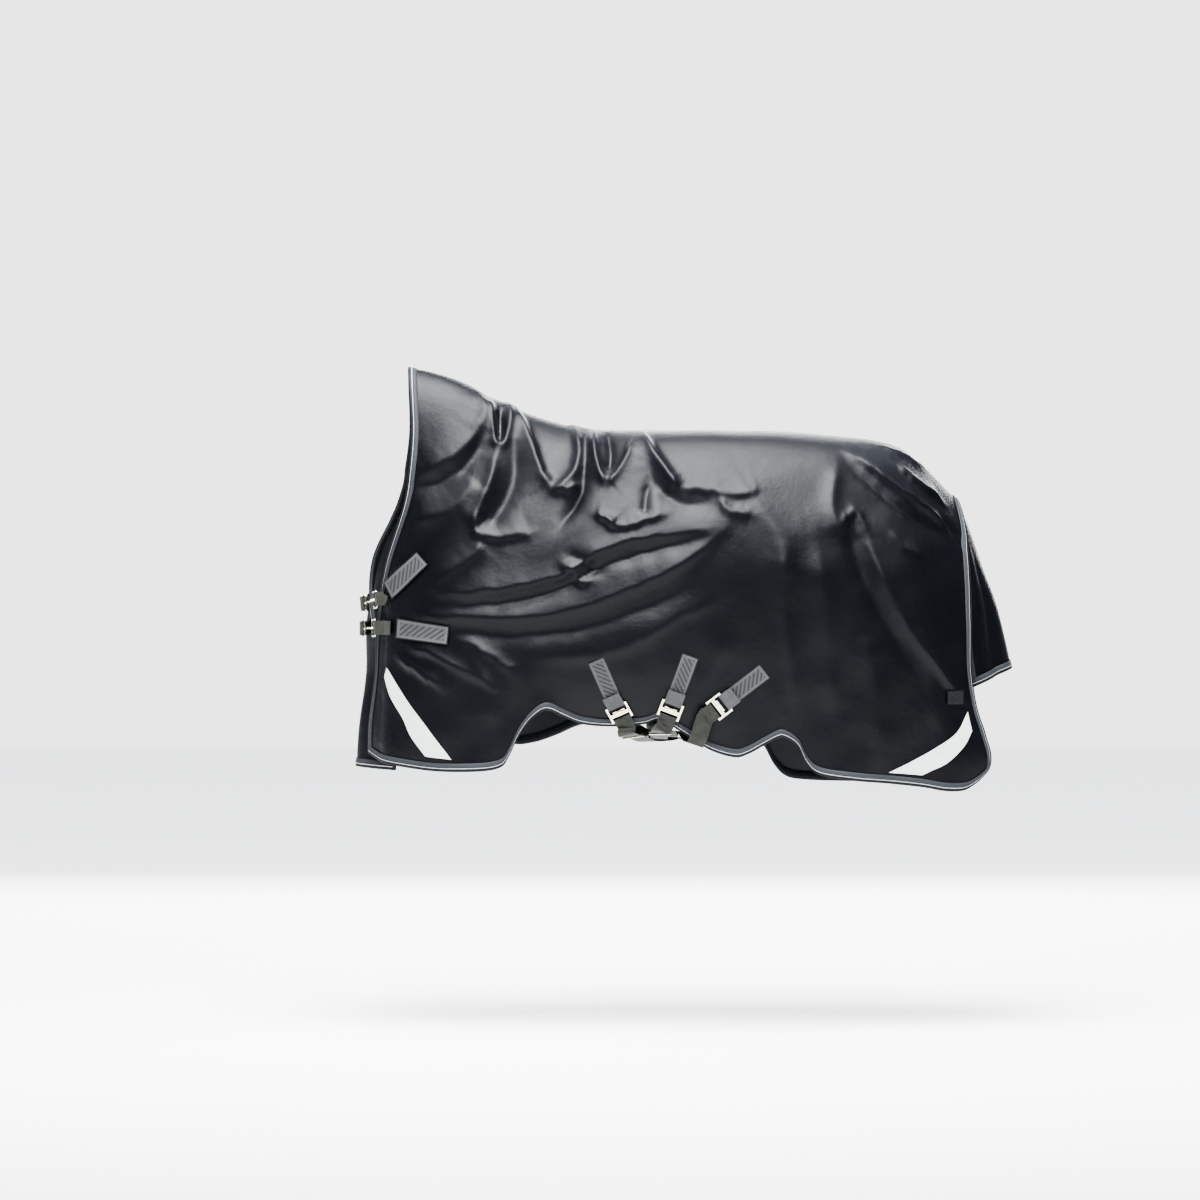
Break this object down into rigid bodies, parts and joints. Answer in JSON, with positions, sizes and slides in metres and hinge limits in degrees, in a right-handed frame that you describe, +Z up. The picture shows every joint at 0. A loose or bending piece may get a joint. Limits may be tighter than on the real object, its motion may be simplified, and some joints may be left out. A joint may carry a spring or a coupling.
{
  "type": "turnout rug",
  "caption": "Horse turnout rug in its worn shape: shaped outer shell over a lining, taped edges, tail flap, chest snaps, crossed surcingles with T hooks and reflective strips.",
  "frame": {"origin": "on the back seam in the middle of the back, where the rug sits on its wearer", "axes": "+Y from head to tail, +X to the wearer's left, +Z up; the wearer faces -Y"},
  "size_m": [0.7044, 1.8745, 1.2011],
  "materials": {
    "shell_cloth": "coated woven nylon, satin",
    "lining_cloth": "smooth woven lining",
    "edge_tape": "ribbed woven tape with pale piping",
    "reflective": "glass bead reflective tape",
    "grey_patch": "woven webbing patch with stitched border",
    "dark_patch": "stitched webbing patch",
    "webbing": "woven nylon webbing",
    "fittings": "pale polished plating"
  },
  "bodies": {
    "rug": {"outer_shell": "shell_cloth", "lining": "lining_cloth", "neck_binding": "edge_tape", "rear_binding": "edge_tape", "hem_binding_left": "edge_tape", "hem_binding_right": "edge_tape", "reflective_front_left": "reflective", "reflective_rear_left": "reflective", "chest_patch_upper_left": "grey_patch", "chest_patch_lower_left": "grey_patch", "rear_patch_left": "dark_patch", "belly_patch_front_left": "grey_patch", "belly_patch_middle_left": "grey_patch", "belly_patch_rear_left": "grey_patch", "reflective_front_right": "reflective", "reflective_rear_right": "reflective", "chest_patch_upper_right": "grey_patch", "chest_patch_lower_right": "grey_patch", "rear_patch_right": "dark_patch", "belly_patch_front_right": "grey_patch", "belly_patch_middle_right": "grey_patch", "belly_patch_rear_right": "grey_patch", "belly_tab_front": "webbing", "surcingle_front": "webbing", "slot_plate_front": "fittings", "t_hook_front": "fittings", "belly_tab_middle": "webbing", "surcingle_middle": "webbing", "slot_plate_middle": "fittings", "t_hook_middle": "fittings", "belly_tab_rear": "webbing", "surcingle_rear": "webbing", "slot_plate_rear": "fittings", "t_hook_rear": "fittings", "chest_upper_tab_left": "webbing", "chest_upper_tab_right": "webbing", "chest_upper_ring": "fittings", "chest_upper_snap_hook": "fittings", "chest_upper_ferrule": "fittings", "chest_upper_swivel_eye": "fittings", "chest_lower_tab_left": "webbing", "chest_lower_tab_right": "webbing", "chest_lower_ring": "fittings", "chest_lower_snap_hook": "fittings", "chest_lower_ferrule": "fittings", "chest_lower_swivel_eye": "fittings"},
    "tail_flap": {"tail_flap": "shell_cloth", "tail_flap_binding_left": "edge_tape", "tail_flap_binding_right": "edge_tape", "tail_flap_hem_binding": "edge_tape"},
    "gate_upper": {"chest_upper_snap_gate": "fittings"},
    "gate_lower": {"chest_lower_snap_gate": "fittings"},
    "slider_front": {"slider_front": "fittings"},
    "slider_middle": {"slider_middle": "fittings"},
    "slider_rear": {"slider_rear": "fittings"}
  },
  "joints": [
    {"name": "tail_flap_lift", "type": "hinge", "parent": "rug", "child": "tail_flap", "pos_m": [0, 0.78, -0.258], "axis": [1, 0, 0], "range_deg": [0, 60]},
    {"name": "snap_gate_upper_open", "type": "hinge", "parent": "rug", "child": "gate_upper", "pos_m": [0.05513, -0.91377, -0.4866], "axis": [-0.1353, -0.0664, 0.9886], "range_deg": [0, 22], "stiffness_Nm_per_rad": 0.02, "springref_deg": -20.05},
    {"name": "snap_gate_lower_open", "type": "hinge", "parent": "rug", "child": "gate_lower", "pos_m": [0.06127, -0.9171, -0.56298], "axis": [-0.0294, -0.0133, 0.9995], "range_deg": [0, 22], "stiffness_Nm_per_rad": 0.02, "springref_deg": -20.05},
    {"name": "slider_front_slide", "type": "slide", "parent": "rug", "child": "slider_front", "axis": [-0.9488, 0.3049, -0.0829], "range_m": [-0.003, 0.003]},
    {"name": "slider_middle_slide", "type": "slide", "parent": "rug", "child": "slider_middle", "axis": [-0.9869, 0.0103, -0.1609], "range_m": [-0.003, 0.003]},
    {"name": "slider_rear_slide", "type": "slide", "parent": "rug", "child": "slider_rear", "axis": [-0.8922, -0.269, 0.3627], "range_m": [-0.003, 0.003]}
  ]
}
